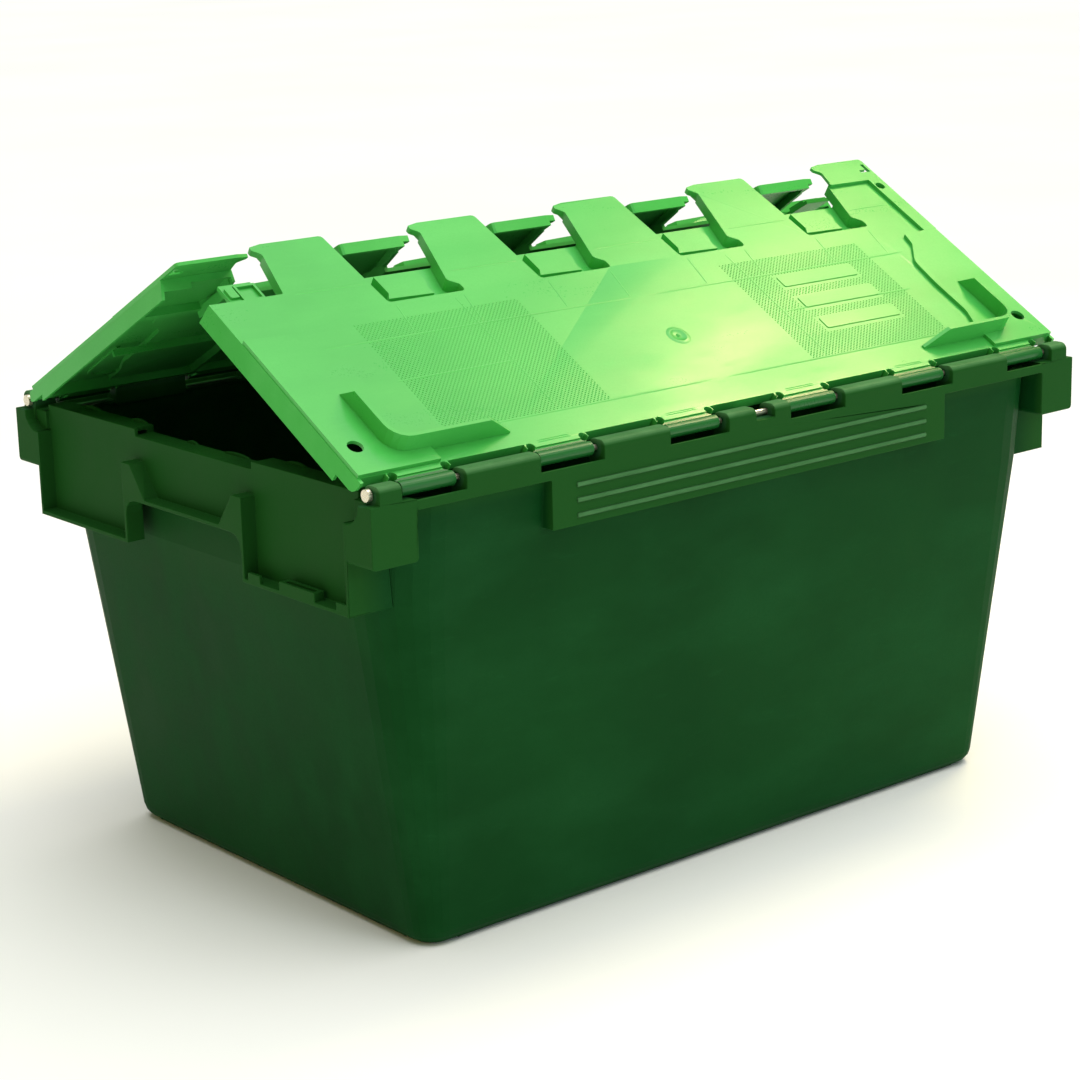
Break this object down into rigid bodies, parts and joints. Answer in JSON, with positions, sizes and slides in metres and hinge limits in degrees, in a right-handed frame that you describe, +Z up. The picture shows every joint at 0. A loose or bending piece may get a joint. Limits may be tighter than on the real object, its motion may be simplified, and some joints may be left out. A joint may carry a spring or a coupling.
{
  "type": "attached lid tote",
  "caption": "Tapered nesting storage tote with two attached interlocking lid halves, propped half open on rod hinges, with end handles, label pockets and ribbed side panels.",
  "frame": {"origin": "centre of the underside, on the plane that the tote stands on", "axes": "+X along the length, towards the right-hand end; -Y towards the front long side, on which front_lid hinges; +Z up"},
  "size_m": [0.71, 0.467, 0.4851],
  "materials": {
    "tote_plastic": "dark green moulded polypropylene, fine satin grain",
    "lid_plastic": "bright green moulded polypropylene, semi-gloss",
    "hinge_rod": "pale yellow-zinc plated steel rod"
  },
  "bodies": {
    "tote": {"tote_body": "tote_plastic", "front_hinge_rod": "hinge_rod", "rear_hinge_rod": "hinge_rod"},
    "front_lid": {"front_lid": "lid_plastic"},
    "rear_lid": {"rear_lid": "lid_plastic"}
  },
  "joints": [
    {"name": "front_lid_hinge", "type": "hinge", "parent": "tote", "child": "front_lid", "pos_m": [0, -0.221, 0.348], "axis": [1, 0, 0], "range_deg": [-30, 160]},
    {"name": "rear_lid_hinge", "type": "hinge", "parent": "tote", "child": "rear_lid", "pos_m": [0, 0.221, 0.348], "axis": [-1, 0, 0], "range_deg": [-28.5, 152]}
  ],
  "couplings": [
    {"joint": "rear_lid_hinge", "follows": "front_lid_hinge", "ratio": 0.95}
  ]
}
